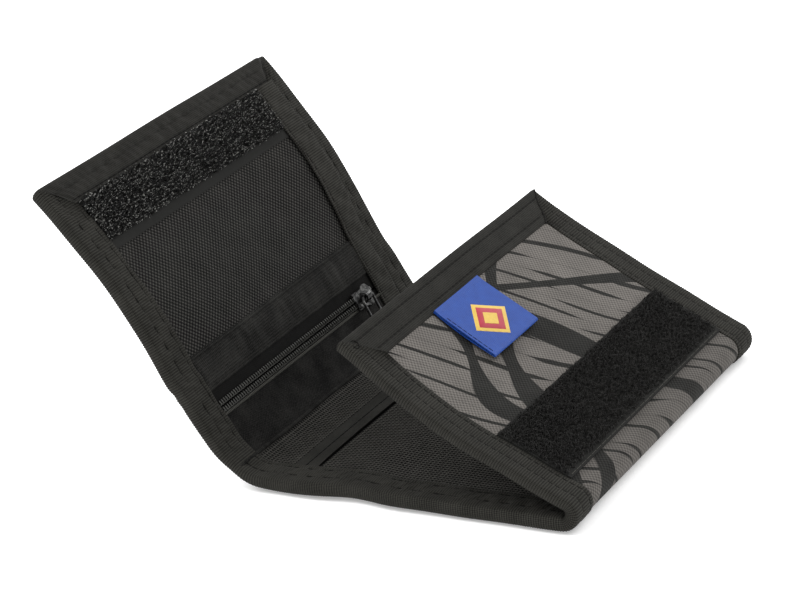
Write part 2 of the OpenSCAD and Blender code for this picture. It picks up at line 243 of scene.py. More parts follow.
class Shape:
    """Collects strip points, faces, strip UVs and material numbers, and makes one mesh object."""

    def __init__(self, name):
        self.name, self.count = name, 0
        self.points, self.faces, self.uvs, self.marks = [], [], [], []

    def add(self, points, faces, uv=None, mark=0):
        points = np.asarray(points, float).reshape(-1, 3)
        self.points.append(points)
        self.uvs.append(points[:, :2] if uv is None else np.asarray(uv, float).reshape(-1, 2))
        for group in faces:
            group = (np.asarray(group) + self.count).tolist()
            self.faces += group
            self.marks += [mark] * len(group)
        self.count += len(points)

    def make(self, looks, sharp=42):
        mesh = bpy.data.meshes.new(self.name)
        points = place(np.concatenate(self.points))
        mesh.from_pydata(points.tolist(), [], self.faces)
        layer = mesh.uv_layers.new(name="strip")
        index = np.zeros(len(mesh.loops), np.int32)
        mesh.loops.foreach_get("vertex_index", index)
        layer.uv.foreach_set("vector", np.concatenate(self.uvs)[index].astype(np.float32).ravel())
        mesh.polygons.foreach_set("material_index", np.array(self.marks, np.int32))
        mesh.polygons.foreach_set("use_smooth", np.ones(len(mesh.polygons), bool))
        mesh.update()
        normals_outward(mesh)
        mesh.set_sharp_from_angle(angle=math.radians(sharp))
        for look in looks:
            mesh.materials.append(look)
        return new_object(self.name, mesh)


def normals_outward(mesh):
    bm = bmesh.new()
    bm.from_mesh(mesh)
    bmesh.ops.recalc_face_normals(bm, faces=bm.faces)
    bm.to_mesh(mesh)
    bm.free()


def grid_faces(n, m, wrap=False):
    """Quads of an n by m grid of points; wrap closes the second direction."""
    i, j = np.meshgrid(np.arange(n - 1), np.arange(m if wrap else m - 1), indexing="ij")
    k = (j + 1) % m
    return np.stack([i * m + j, i * m + k, (i + 1) * m + k, (i + 1) * m + j], -1).reshape(-1, 4)


def loft_faces(n, m):
    """Faces of n closed rings of m points, with both ends closed."""
    return [grid_faces(n, m, wrap=True), np.stack([np.arange(m), (n - 1) * m + np.arange(m)[::-1]])]


def spaced(a, b, step):
    return np.linspace(a, b, max(2, int(round(abs(b - a) / step)) + 1))


def joined(L, y, z):
    """Strip points from three arrays or numbers."""
    return np.stack(np.broadcast_arrays(L, y, z), -1)


def slab(shape, Ls, ys, low, high, bend=None):
    """A closed sheet over a grid of L and y, between two heights given as functions of L and y."""
    L, y = np.meshgrid(Ls, ys, indexing="ij")
    if bend:
        y = bend(L, y)
    n, m = L.shape
    a = joined(L, y, high(L, y)).reshape(-1, 3)
    b = joined(L, y, low(L, y)).reshape(-1, 3)
    quads = grid_faces(n, m)
    rim = np.concatenate([np.arange(m), np.arange(1, n) * m + m - 1,
                          (n - 1) * m + np.arange(m - 2, -1, -1), np.arange(n - 2, 0, -1) * m])
    following = np.roll(rim, -1)
    side = np.stack([rim, following, following + n * m, rim + n * m], 1)
    shape.add(np.concatenate([a, b]), [quads, quads[:, ::-1] + n * m, side])


def unit(v):
    return v / (np.linalg.norm(v, axis=-1, keepdims=True) + 1e-9)


def tubes(shape, paths, radius, sides=5, ref=(0, 0, 1), closed=False, mark=0, flatten=1.0):
    """Tubes along paths of shape (count, points, 3); radius is one number or one for each point."""
    paths = np.asarray(paths, float)
    if paths.ndim == 2:
        paths = paths[None]
    k, n, _ = paths.shape
    t = unit(np.roll(paths, -1, 1) - np.roll(paths, 1, 1) if closed else np.gradient(paths, axis=1))
    a = unit(np.cross(t, np.asarray(ref, float)))
    b = np.cross(a, t)
    r = np.broadcast_to(np.asarray(radius, float), (k, n))[..., None, None]
    phi = np.arange(sides) * 2 * pi / sides + pi / sides
    ring = a[:, :, None] * cos(phi)[:, None] + flatten * b[:, :, None] * sin(phi)[:, None]
    points = (paths[:, :, None] + r * ring).reshape(-1, 3)
    one = grid_faces(n, sides, wrap=True)
    if closed:
        j = np.arange(sides)
        k1, last = (j + 1) % sides, (n - 1) * sides
        one = np.concatenate([one, np.stack([last + j, last + k1, k1, j], 1)])
    step = (np.arange(k) * n * sides)[:, None, None]
    faces = [(one[None] + step).reshape(-1, 4)]
    if not closed:
        caps = np.stack([np.arange(sides)[::-1], (n - 1) * sides + np.arange(sides)])
        faces.append((caps[None] + step).reshape(-1, sides))
    centres = np.repeat(paths[:, :, None, :2], sides, axis=2).reshape(-1, 2)
    shape.add(points, faces, uv=centres, mark=mark)


def ride(obj, body, slot, *nodes):
    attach(obj, body)
    if nodes:
        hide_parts(*nodes)
    return obj


def hinge_blend(obj, nodes):
    """Bakes a piece's transform into its mesh and hides the CAD nodes that it stands for."""
    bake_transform(obj)
    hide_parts(*nodes)
    return obj


# ---- materials
class Look:
    """A node material; u and v are strip millimetres."""

    def __init__(self, name, **fixed):
        self.material = bpy.data.materials.new(name)
        self.material.use_nodes = True
        self.tree = self.material.node_tree
        self.shader = self.tree.nodes["Principled BSDF"]
        for socket, value in fixed.items():
            self.shader.inputs[socket.replace("_", " ")].default_value = value
        source = self.node("ShaderNodeUVMap", uv_map="strip")
        split = self.node("ShaderNodeSeparateXYZ")
        self.link(source.outputs[0], split.inputs[0])
        self.u, self.v = split.outputs[0], split.outputs[1]

    def node(self, kind, **settings):
        made = self.tree.nodes.new(kind)
        for key, value in settings.items():
            setattr(made, key, value)
        return made

    def link(self, source, target):
        if isinstance(source, bpy.types.NodeSocket):
            self.tree.links.new(source, target)
        else:
            target.default_value = source

    def fed(self, made, values):
        for value, socket in zip(values, made.inputs):
            self.link(value, socket)
        return made.outputs[0]

    def math(self, operation, *values):
        return self.fed(self.node("ShaderNodeMath", operation=operation), values)

    def add(self, a, b):
        return self.math("ADD", a, b)

    def mul(self, a, b):
        return self.math("MULTIPLY", a, b)

    def fit(self, x, scale, offset):
        return self.math("MULTIPLY_ADD", x, scale, offset)

    def wave(self, x, pitch, phase=0.0):
        """A cosine of x, from 0 to 1, once for each pitch."""
        turn = self.add(self.mul(x, 2 * pi / pitch), phase)
        return self.fit(self.math("COSINE", turn), 0.5, 0.5)

    def step(self, x, low, high):
        return self.fed(self.node("ShaderNodeMapRange", interpolation_type="SMOOTHSTEP"), (x, low, high))

    def noise(self, size, detail=2.0, seed=0.0):
        """Noise from 0 to 1 with features of that size in millimetres."""
        where = self.node("ShaderNodeCombineXYZ")
        at = self.fed(where, (self.mul(self.u, 1 / size), self.mul(self.v, 1 / size), seed))
        made = self.node("ShaderNodeTexNoise")
        made.inputs["Scale"].default_value = 1.0
        made.inputs["Detail"].default_value = detail
        self.link(at, made.inputs["Vector"])
        return made.outputs["Fac"]

    def mix(self, factor, a, b):
        made = self.node("ShaderNodeMix", data_type="RGBA")
        self.link(factor, made.inputs[0])
        self.link((*a, 1) if isinstance(a, tuple) else a, made.inputs[6])
        self.link((*b, 1) if isinstance(b, tuple) else b, made.inputs[7])
        return made.outputs[2]

    def dots(self, pitch_u, pitch_v):
        """A plain weave: bright where one yarn lies over the other, in a checked lattice."""
        a = self.math("COSINE", self.mul(self.u, 2 * pi / pitch_u))
        b = self.math("COSINE", self.mul(self.v, 2 * pi / pitch_v))
        return self.fit(self.mul(a, b), 0.5, 0.5)

    def done(self, colour, rough, height, depth):
        self.link(colour, self.shader.inputs["Base Color"])
        self.link(rough, self.shader.inputs["Roughness"])
        bump = self.node("ShaderNodeBump")
        bump.inputs["Distance"].default_value = depth * MM
        self.link(height, bump.inputs["Height"])
        self.link(bump.outputs[0], self.shader.inputs["Normal"])
        return self.material


CLOTH = dict(Sheen_Weight=0.015, Sheen_Roughness=0.45, Specular_IOR_Level=0.05)


def cloth(name, dark, light, weave, depth, rough=0.75, patch=0.25, **fixed):
    """Black synthetic cloth: weave(look) gives the height, and patch how uneven the shade is."""
    look = Look(name, **{**CLOTH, **fixed})
    height = weave(look)
    shade = look.add(look.mul(look.noise(7, 3), patch), look.mul(look.noise(0.5, 2, seed=3), patch))
    colour = look.mix(look.add(height, look.fit(shade, 1.0, -patch)), dark, light)
    return look.done(colour, look.fit(look.noise(1.5, seed=5), 0.2, rough - 0.1),
                     look.add(height, look.mul(look.noise(0.18, 2, seed=8), 0.5)), depth)


def grosgrain_weave(k):
    fine = k.mul(k.wave(k.v, 0.42), 0.35)
    return k.add(k.mul(k.wave(k.u, RIB, pi), 0.45), fine)


def end_weave(k):
    return k.add(k.mul(k.wave(k.u, 0.36), 0.4), k.mul(k.wave(k.v, 0.5), 0.3))


def ribbon_weave(k):
    return k.add(k.mul(k.wave(k.v, 0.6), 0.4), k.mul(k.wave(k.u, 0.8), 0.25))


RIB = 0.7                   # pitch of the binding tape's ribs
DEEP = (0.001, 0.001, 0.001)
GROSGRAIN = cloth("grosgrain", (0.004, 0.004, 0.0035), (0.058, 0.056, 0.049),
                  grosgrain_weave, 0.07, patch=0.4)
END_TAPE = cloth("end_binding_tape", (0.005, 0.005, 0.0043), (0.047, 0.0455, 0.041),
                 end_weave, 0.05, patch=0.5)
THREAD = cloth("thread", (0.003, 0.003, 0.003), (0.020, 0.0195, 0.0175),
               lambda k: k.wave(k.u, 0.4), 0.02)
OXFORD = cloth("oxford", DEEP, (0.072, 0.070, 0.064),
               lambda k: k.math("POWER", k.dots(1.4, 1.4), 2.4), 0.14, rough=0.66)
NYLON = cloth("nylon_cloth", DEEP, (0.029, 0.028, 0.0258),
              lambda k: k.mul(k.dots(0.8, 0.8), 0.5), 0.09, patch=1.2)
RIBBON = cloth("facing_ribbon_tape", DEEP, (0.044, 0.043, 0.0395), ribbon_weave, 0.06, patch=0.9)
ZIP_TAPE = cloth("zip_tape_cloth", DEEP, (0.010, 0.0097, 0.009),
                 lambda k: k.mul(k.wave(k.v, 0.45), 0.8), 0.05, patch=0.6)
HOOK_TAPE = cloth("hook_tape_cloth", (0.010, 0.010, 0.0095), (0.025, 0.025, 0.0235),
                  lambda k: k.dots(0.35, 0.35), 0.02, patch=0.2)
MESH = cloth("mesh_thread", (0.012, 0.012, 0.0108), (0.105, 0.101, 0.092),
             lambda k: k.noise(0.4), 0.02, rough=0.6, patch=0.3)
# painted highlight: the light colour paints bright glints as specks where the noise is high; the hook filament
# itself is black
HOOKS_WITH_PAINTED_GLINTS = cloth("hook_filament", (0.0006, 0.0006, 0.0006), (0.42, 0.42, 0.395),
              lambda k: k.step(k.noise(0.4, 1), 0.56, 0.68), 0.01, rough=0.42, patch=0.05,
              Sheen_Weight=0.0, Specular_IOR_Level=0.4)
PILE = cloth("loop_filament", DEEP, (0.036, 0.035, 0.033),
             lambda k: k.noise(0.8), 0.02, rough=0.7, patch=0.4, Sheen_Weight=0.1)
COIL = cloth("coil_filament", (0.010, 0.010, 0.0088), (0.095, 0.095, 0.085),
             lambda k: k.noise(0.8), 0.01, rough=0.38, patch=0.1, Sheen_Weight=0.0, Specular_IOR_Level=0.7)
PIPING = cloth("piping_cord", (0.012, 0.012, 0.011), (0.080, 0.079, 0.070),
               lambda k: k.wave(k.v, 0.6), 0.03, patch=0.2)
UNDER_MESH = cloth("lining_cloth", DEEP, (0.0055, 0.0053, 0.005),
                   lambda k: k.dots(0.5, 0.5), 0.05, patch=0.5)

LINES = 6.6                 # pitch of the print's thin dark lines
BANDS = (                   # the print's wide dark bands: slope, offset, half width, bow and its period
    (1.05, -112.0, 4.0, 4.0, 9.0), (-0.55, 52.0, 4.2, 5.0, 13.0),
    (0.25, -52.0, 3.2, 6.0, 8.0), (-1.6, 187.0, 3.4, 4.0, 11.0))


def print_look():
    """Light print on the dark cloth: fingers of light between thin dark lines, cut by dark bands."""
    look = Look("printed_cloth", **CLOTH)
    u, v = look.u, look.v
    weave = look.dots(1.25, 1.25)
    slow = look.mul(look.math("SINE", look.mul(u, 1 / 10.0)), 2.4)
    slanted = look.add(look.mul(v, 1 / 9.0), look.mul(u, 1 / 21.0))
    sway = look.add(slow, look.mul(look.math("SINE", slanted), 3.4))
    along = look.add(look.add(v, look.mul(u, 0.75)), sway)
    number = look.math("ROUND", look.mul(along, 1 / LINES))
    line = look.math("ABSOLUTE", look.math("SINE", look.mul(along, pi / LINES)))
    reach = look.math("SINE", look.add(look.mul(u, 1 / 6.5), look.mul(number, 2.3)))
    width = look.mul(look.step(reach, -0.5, 0.5), 0.36)
    light = look.step(line, width, look.add(width, 0.05))
    for slope, offset, half, bow, period in BANDS:
        curve = look.add(look.mul(u, slope), offset)
        curve = look.add(curve, look.mul(look.math("SINE", look.mul(u, 1 / period)), bow))
        gap = look.math("ABSOLUTE", look.math("SUBTRACT", v, curve))
        swell = look.fit(look.math("SINE", look.mul(look.add(u, v), 1 / 7.0)), 1.3, half)
        light = look.mul(light, look.step(gap, swell, look.add(swell, 0.35)))
    ink = look.mul(light, look.fit(weave, 0.75, 0.32))
    ink = look.mul(ink, look.fit(look.noise(9, 2, seed=7), 0.6, 0.6))
    # painted shade: the print is dimmed to 0.7 within 7 mm of the right fold's middle and is back to full by 15
    # mm, where the bend turns from the light
    from_fold = look.math("ABSOLUTE", look.math("SUBTRACT", u, FLAP_FROM + FOLD / 2))
    ink = look.mul(ink, look.fit(look.step(from_fold, 7.0, 15.0), 0.3, 0.7))
    shade = look.add(weave, look.fit(look.noise(6, 2), 0.6, -0.3))
    base = look.mix(shade, (0.009, 0.009, 0.0085), (0.034, 0.0335, 0.031))
    colour = look.mix(ink, base, (0.190, 0.175, 0.161))
    return look.done(colour, look.fit(ink, -0.12, 0.76),
                     look.add(weave, look.mul(look.noise(0.2, 2, seed=8), 0.4)), 0.10)


PRINT = print_look()


def label_look():
    look = Look("label_weave", Sheen_Weight=0.03, Sheen_Roughness=0.4, Specular_IOR_Level=0.2)
    weave = look.add(look.mul(look.wave(look.u, 0.32), 0.6), look.mul(look.wave(look.v, 0.32), 0.4))
    shade = look.add(weave, look.fit(look.noise(3, 3), 0.6, -0.3))
    colour = look.mix(shade, (0.005, 0.028, 0.18), (0.014, 0.075, 0.36))
    return look.done(colour, look.fit(weave, -0.1, 0.6), weave, 0.03)


def patch_look(name, dark, light):
    look = Look(name, Sheen_Weight=0.1, Specular_IOR_Level=0.4)
    weave = look.wave(look.add(look.u, look.v), 0.4)
    shade = look.add(weave, look.fit(look.noise(1.2, 2), 0.5, -0.25))
    return look.done(look.mix(shade, dark, light), 0.55, weave, 0.04)


LABEL = label_look()
GOLD = patch_look("patch_gold", (0.52, 0.33, 0.04), (0.80, 0.56, 0.10))
RED = patch_look("patch_red", (0.30, 0.012, 0.03), (0.50, 0.03, 0.06))


def metal_look():
    look = Look("gunmetal", Metallic=0.9, Coat_Weight=0.15, Coat_Roughness=0.2)
    worn = look.step(look.noise(1.4, 4), 0.45, 0.7)
    colour = look.mix(worn, (0.035, 0.035, 0.035), (0.16, 0.16, 0.155))
    return look.done(colour, look.fit(look.noise(0.7, 3, seed=4), 0.25, 0.2),
                     look.noise(0.5, 3, seed=2), 0.02)


METAL = metal_look()

# ---- bindings
STITCH = 2.1                # pitch of the stitches
ROWS = (4.1, 8.3)           # the seams' distances from the edge


def stitch_row(shape, along, place_of, pitch=STITCH, radius=0.15):
    """Stitches along a seam: place_of(t) gives strip points of the surface."""
    t = np.arange(along[0] + pitch, along[1] - pitch * 0.6, pitch)
    off = np.array([-0.45, -0.3, 0.3, 0.45]) * pitch
    points = place_of((t[:, None] + off).ravel()).reshape(len(t), 4, 3)
    tubes(shape, points, np.array([0.35, 1, 1, 0.35]) * radius, mark=1, flatten=0.8)


def groove(e, t, rows, pitch):
    """How deep the stitch rows draw the binding in, at distance e from the edge and place t."""
    deep = 0.17 + 0.05 * cos(2 * pi * t / pitch)
    return sum(deep * exp(-((e - row) / 0.33) ** 2) for row in rows)


def pucker(t, e):
    """Small waves that the seams draw into a binding."""
    broad = 0.16 * sin(t / 1.3 + 2.2 * sin(t / 4.7) + e / 2.1)
    return broad + 0.10 * sin(t / 0.61 + 1.9 * sin(t / 3.1) - e)


def wander(t):
    """How a binding's inner edge runs a little to and fro."""
    return 0.32 * sin(t / 5.3 + 1.3 * sin(t / 8.9)) + 0.12 * sin(t / 1.7)


def binding(shape, stations, edge, z0, z1, low_leg, high_leg, rows=(ROWS, ROWS), mitre=(False, False),
            rib=0.07, coarse=0.42):
    """A tape folded over an edge. stations run along the edge; edge(t, e) gives L and y of the point
    at distance e in from the edge; z0(t) and z1(t) are the outer and inner surface heights; rows are
    the seams on the inner and on the outer side."""
    # each leg starts behind the folded edge and has closer points where its own edge turns down
    high_e = np.concatenate([[high_leg, high_leg - 0.12], np.arange(high_leg - 0.4, 1.3, -coarse)])
    low_e = np.concatenate([np.arange(1.5, low_leg - 0.4, coarse), [low_leg - 0.12, low_leg]])
    web = np.linspace(0, pi, 9)
    t = stations[:, None]
    bottom, top = z0(t), z1(t)
    mid, h = (bottom + top) / 2, (top - bottom) / 2
    web_r = np.minimum(1.0, h)
    one = np.ones_like(t)

    def drop(e, leg):
        return np.where(e > leg - 0.05, 0.3, np.where(e > leg - 0.2, 0.07, 0))

    swell = (0.10 + pucker(t, high_e)) * sin(pi * np.clip(high_e / high_leg, 0, 1))
    ribs = rib * cos(2 * pi * t / RIB)
    zh = top - drop(high_e, high_leg) + swell - groove(high_e, t, rows[0], STITCH) + ribs
    eh = high_e + wander(t) * (high_e / high_leg) ** 4
    ew = web_r * (1 - sin(web)) - ribs
    zw = mid + (h + ribs) * np.sign(cos(web)) * np.abs(cos(web)) ** 0.75
    belly = 0.08 * sin(pi * low_e / low_leg)
    zl = bottom + drop(low_e, low_leg) - belly + groove(low_e, t, rows[1], STITCH) - ribs
    el = one * low_e
    thick = np.minimum(0.5, h * 0.6)
    ei = one * np.array([low_leg, 1.2, 1.0, 1.2, high_leg])
    zi = np.concatenate([bottom + thick, bottom + thick, mid, top - thick, top - thick], 1)
    E, Z = np.concatenate([eh, ew, el, ei], 1), np.concatenate([zh, zw, zl, zi], 1)
    T = t + 0 * E
    slanted = LEG + 4.0
    a, b = stations[0], stations[-1]
    if mitre[0]:
        T = T + E * np.clip((a + slanted - T) / slanted, 0, 1)
    if mitre[1]:
        T = T - E * np.clip((T - b + slanted) / slanted, 0, 1)
    n, m = E.shape
    girth = np.concatenate([[0], np.cumsum(np.hypot(np.diff(E[n // 2]), np.diff(Z[n // 2])))])
    uv = np.stack([T, np.broadcast_to(girth, (n, m))], -1)
    shape.add(joined(*edge(T, E), Z), loft_faces(n, m), uv=uv)
    sink = 0.09 if rib else 0.0
    for seams, base, sign in ((rows[0], z1, 1), (rows[1], z0, -1)):
        for row in seams:
            def surface(q, row=row, base=base, sign=sign):
                return joined(*edge(q, np.full_like(q, row)), base(q) - sign * sink)
            stitch_row(shape, (a + row * mitre[0], b - row * mitre[1]), surface)


def const(value):
    return lambda t: value + 0 * np.asarray(t, float)


def long_edge(side, shift=const(0)):
    return lambda t, e: (t + 0 * e, side * (HALF - e - shift(t)))


def free_edge(end, into):
    return lambda t, e: (end + into * e, t + 0 * e)


STEP = RIB / 3
CUT = 0.02                  # half of the gap where a long piece is cut in two
A_SPAN = (LEFT_END, MID_SPINE - CUT)
B_SPAN = (MID_SPINE + CUT, -CUT)
C_SPAN = (CUT, RUN_END)


def long_binding(name, spans, edge, z0, z1, low_leg, high_leg, flap_node=None, **rows):
    """A binding along the whole strip: each of its pieces bends over one fold."""
    pieces = (("_a", "left", (name + "_left",), None),
              ("_b", "spine", (name + "_spine", name + "_middle"), None),
              ("_c", "flap", (flap_node,), 3.4))
    for span, (tail, fold, nodes, reach) in zip(spans, pieces):
        shape = Shape(name + tail)
        mitre = span[0] == LEFT_END, span[1] == RUN_END
        binding(shape, spaced(*span, STEP), edge, z0, z1, low_leg, high_leg, mitre=mitre, **rows)
        hinge_blend(shape.make([GROSGRAIN, THREAD]), nodes)


cover_leg_top = flat("binding_back_cover_middle")[1][2]
lining_leg_low = flat("binding_back_lining_middle")[0][2]
lining_left_end = flat("binding_back_lining_left")[0][0]
INNER_LEG, LINING_LEG = 8.0, 9.0


def cover_top(t):
    """The far binding of the cover holds the cover alone until it takes in the whole flap."""
    return cover_leg_top + (TOP - cover_leg_top) * ease((np.asarray(t) - FLAP_FROM + 6) / (FOLD + 6))


long_binding("binding_front", (A_SPAN, B_SPAN, C_SPAN), long_edge(-1), lift, const(TOP), LEG, LEG,
             "binding_front_flap")
long_binding("binding_back_cover", (A_SPAN, B_SPAN, C_SPAN), long_edge(1), lift, cover_top, LEG, LEG - 0.5,
             "binding_back_flap")
long_binding("binding_back_lining", ((lining_left_end, A_SPAN[1]), (B_SPAN[0], FLAP_FROM - 2)),
             long_edge(1, inset), const(lining_leg_low), const(TOP), INNER_LEG, LINING_LEG,
             rows=((7.9,), ()))


def thinner_corner(y):
    """The left end binding closes down on the cover's binding at its far corner."""
    return TOP - (TOP - cover_leg_top) * ease((y - HALF + 6) / 5)


def corner_threads(shape):
    """On the flap's outer side: the seam over the far mitre, and a curl of thread at the near corner."""
    e = np.linspace(0.7, LEG + 0.3, 14)
    seam_z = FLAP_Z - 0.04 - 0.1 * sin(pi * e / LEG)
    tubes(shape, joined(RUN_END - e, HALF - e * 1.02 + 0.25 * sin(e), seam_z), 0.24, sides=6, mark=1)
    a = np.linspace(0, 4.6, 16)
    curl_y = 3.2 - HALF + (1.6 - 0.15 * a) * sin(a)
    tubes(shape, joined(RUN_END - 3.4 + 1.3 * cos(a), curl_y, FLAP_Z - 0.1), 0.16, sides=6, mark=1)


for name, end, into, z0, z1, body, high_leg, rows in (
        ("binding_end_left", LEFT_END, 1, 0.0, thinner_corner, "left_panel", 8.6, (3.8, 7.6)),
        ("binding_end_flap", RUN_END, -1, FLAP_Z, const(TOP), "right_flap", LEG, (2.9, 7.7))):
    shape = Shape(name)
    binding(shape, spaced(-HALF, HALF, 0.6), free_edge(end, into), const(z0), z1, LEG, high_leg,
            rows=(rows, rows), mitre=(True, True), rib=0.0, coarse=0.3)
    if body == "right_flap":
        corner_threads(shape)
    ride(shape.make([END_TAPE, THREAD]), body, "grosgrain", name)

# ---- covers and linings
HIDDEN = 1.4                # a cloth ends this far inside the outline, under its binding
RIM = HALF - HIDDEN
# the cover's heights: outer face under a binding, how far it bulges between them, inner face
PRESSED, BULGE, COVER_INNER = 0.66, 0.36, 1.12
SLOPE = 1.6                 # length over which the cover comes up beside a binding
THIN = 0.02                 # keeps sheets that lie on each other apart


def across(step, half=RIM):
    return spaced(-half, half, step)


def cover_low(L, y):
    end = ease((L - LEFT_END - LEG + 1) / SLOPE) * ease((RUN_END - L - LEG + 1) / SLOPE)
    return lift(L) + PRESSED - BULGE * ease((WINDOW - 0.4 - np.abs(y)) / SLOPE + 1) * end


def cover_high(L, y):
    return lift(L) + COVER_INNER


for name, span, fold, nodes in (
        ("cover_a", (LEFT_END + HIDDEN, A_SPAN[1]), "left", ("cover_left",)),
        ("cover_b", B_SPAN, "spine", ("cover_spine", "cover_middle")),
        ("cover_c", (CUT, RUN_END - HIDDEN), "flap", ("cover_flap",))):
    shape = Shape(name)
    Ls, ys = spaced(*span, 0.9), across(0.9)
    slab(shape, Ls, ys, cover_low, cover_high)
    inner_faces = (len(Ls) - 1) * (len(ys) - 1)
    shape.marks[:inner_faces] = [1] * inner_faces       # the cloth is printed on its outer face alone
    hinge_blend(shape.make([PRINT, NYLON]), nodes)


def sheet(name, Ls, ys, low, high, look, bend=pulled):
    shape = Shape(name)
    slab(shape, Ls, ys, low, high, bend)
    return shape.make([look])


def level(value):
    return lambda L, y: value + 0 * L


def node_sheet(name, look, body, slot, half=RIM, step=0.9, bend=pulled, dz=(0, 0)):
    """A sheet in the place of the CAD node with the same name."""
    low, high = flat(name)
    Ls = spaced(run(low[0]), run(high[0]), step)
    obj = sheet(name, Ls, across(step, half), level(low[2] + dz[0]), level(high[2] + dz[1]), look, bend)
    ride(obj, body, slot, name)


def sew(shape, row, height, half, bend=pulled, pitch=2.4, radius=0.14):
    """A seam across the strip at the place row, on the surface height(L, y)."""
    def seam(q):
        L = np.full_like(q, row)
        return joined(L, bend(L, q) if bend else q, height(L, q))
    stitch_row(shape, half, seam, pitch, radius)


BEHIND_LEG = WINDOW + 0.2   # half of the width of a sheet that ends just under the long bindings
node_sheet("lining_oxford", OXFORD, "left_panel", "oxford")
node_sheet("zip_tape_upper", ZIP_TAPE, "left_panel", "zip_tape", dz=(0, -THIN))
node_sheet("coin_pocket_bag", NYLON, "left_panel", "nylon", BEHIND_LEG, step=2.0)
node_sheet("card_pocket_back", NYLON, "right_flap", "nylon", BEHIND_LEG, bend=None)
node_sheet("card_pocket_front", NYLON, "right_flap", "nylon", BEHIND_LEG, bend=None)

# the ribbon that faces the zip, with a seam along each edge
ribbon = flat("facing_ribbon")
RIBBON_SEAM = 1.3


def ribbon_high(L, y):
    a = L - ribbon[0][0]
    b = ribbon[1][0] - L
    edge = exp(-(a / 0.35) ** 2) * 0.12 + exp(-(b / 0.35) ** 2) * 0.12
    seam = groove(np.minimum(a, b), y, (RIBBON_SEAM,), 2.4)
    pleats = 0.11 * sin(y / 0.95 + 2.1 * sin(y / 3.7)) * ease(np.minimum(a, b) / 2.5)
    return ribbon[1][2] + 0.22 * exp(-((a - 5) / 3.5) ** 2) - edge - seam * 0.8 + pleats


shape = Shape("facing_ribbon")
slab(shape, spaced(ribbon[0][0], ribbon[1][0], 0.3), across(0.6), level(ribbon[0][2]), ribbon_high, pulled)
for row in (ribbon[0][0] + RIBBON_SEAM, ribbon[1][0] - RIBBON_SEAM):
    sew(shape, row, level(ribbon[1][2] - 0.05), (-WINDOW, WINDOW))
ride(shape.make([RIBBON, THREAD]), "left_panel", "grosgrain", "facing_ribbon")

# the cloth between the zip and the middle panel: zip tape below, facing above, over both left folds
lower_tape = flat("zip_tape_lower")
facing = flat("facing_lower")
hem = flat("crease_hem")
lining = flat("lining_middle")
HEM_AT = (hem[0][0] + hem[1][0]) / 2


def facing_high(L, y):
    wrinkle = (0.14 * sin(L / 1.9 + 1.5 * sin(y / 13)) + 0.10 * sin(y / 3.1 + 2 * sin(L / 3))
               + 0.08 * sin(y / 1.2 + 2 * sin(y / 4.1) + L / 2.7))
    hem_step = (facing[1][2] - lining[1][2] + THIN) * ease((L - HEM_AT) / 0.8)
    return facing[1][2] - hem_step + wrinkle * ease((L - facing[0][0]) / 2) * ease((HEM_AT - L) / 2)


facing_a = sheet("facing_a", spaced(facing[0][0], A_SPAN[1], 0.5), across(0.8), level(facing[0][2]),
                 facing_high, NYLON)
hinge_blend(facing_a, ("facing_lower",))
facing_b = sheet("facing_b", spaced(B_SPAN[0], lining[0][0] + 3, 0.4), across(0.8), level(lining[0][2]),
                 facing_high, NYLON)
hinge_blend(facing_b, ("lining_spine",))
tape_piece = sheet("zip_tape_lower", spaced(lower_tape[0][0], LEFT_FROM - RAMP - 0.6, 0.6), across(1.0),
                   level(lower_tape[0][2]), level(lower_tape[1][2] - THIN), ZIP_TAPE)
ride(tape_piece, "left_panel", "zip_tape", "zip_tape_lower")

# lining of the middle panel and the flap, one cloth over the right fold
flap_lining = flat("lining_flap")


def lining_low(L, y):
    k = ease((L - FLAP_FROM) / FOLD)
    return lining[0][2] + (flap_lining[0][2] - lining[0][2]) * k


def lining_high(L, y):
    return lining_low(L, y) + lining[1][2] - lining[0][2] - THIN


lining_piece = sheet("lining_middle_flap", spaced(lining[0][0] + 3.1, RUN_END - 1.2, 0.8), across(1.1),
                     lining_low, lining_high, UNDER_MESH)
hinge_blend(lining_piece, ("lining_middle", "lining_flap"))

# ---- middle panel's inner side
strip = flat("mesh_strip")
mouth = flat("pocket_mouth_tape")
pocket = flat("mesh_pocket")
FLOOR = strip[0][2]         # the lining's inner side, which both meshes lie on


def part(L, node):
    """0 at the low end of a flat node, 1 at its high end."""
    return (L - node[0][0]) / (node[1][0] - node[0][0])


def net(shape, L0, L1, pitch, radius, height, wave=None, step=1.6):
    """Knitted mesh: threads both ways that follow height(L, y)."""
    along = np.meshgrid(spaced(L0, L1, step), np.arange(-RIM, RIM, pitch))
    crosswise = np.meshgrid(np.arange(L0 + pitch / 2, L1, pitch), across(step), indexing="ij")
    for (L, y), over in ((along, radius * 0.4), (crosswise, radius * -0.4)):
        moved = L + wave(L, y) if wave else L
        tubes(shape, joined(moved, pulled(L, y), height(L, y) + over), radius, sides=4, flatten=0.7)


shape = Shape("mesh_strip")
net(shape, HEM_AT, mouth[0][0] + 1.2, 1.0, 0.16, level(FLOOR + 0.42))
strip_piece = hinge_blend(shape.make([MESH]), ("mesh_strip",))


def pocket_height(L, y):
    a = part(L, pocket)
    b = np.clip((WINDOW - np.abs(y + 3)) / 30, 0, 1)
    dome = ease(a / 0.25) * ease((1 - a) / 0.55) * ease(b)
    return FLOOR + 0.4 + 1.3 * dome


def pocket_wave(L, y):
    a = part(L, pocket)
    return 3.2 * sin(pi * np.clip(a, 0, 1)) * cos(y / 33 + 0.4)


shape = Shape("mesh_pocket")
net(shape, pocket[0][0], pocket[1][0] - 0.3, 1.05, 0.17, pocket_height, pocket_wave)
pocket_piece = ride(shape.make([MESH]), "middle_panel", "mesh", "mesh_pocket")
MOUTH_SEAMS = (0.9, 4.6)


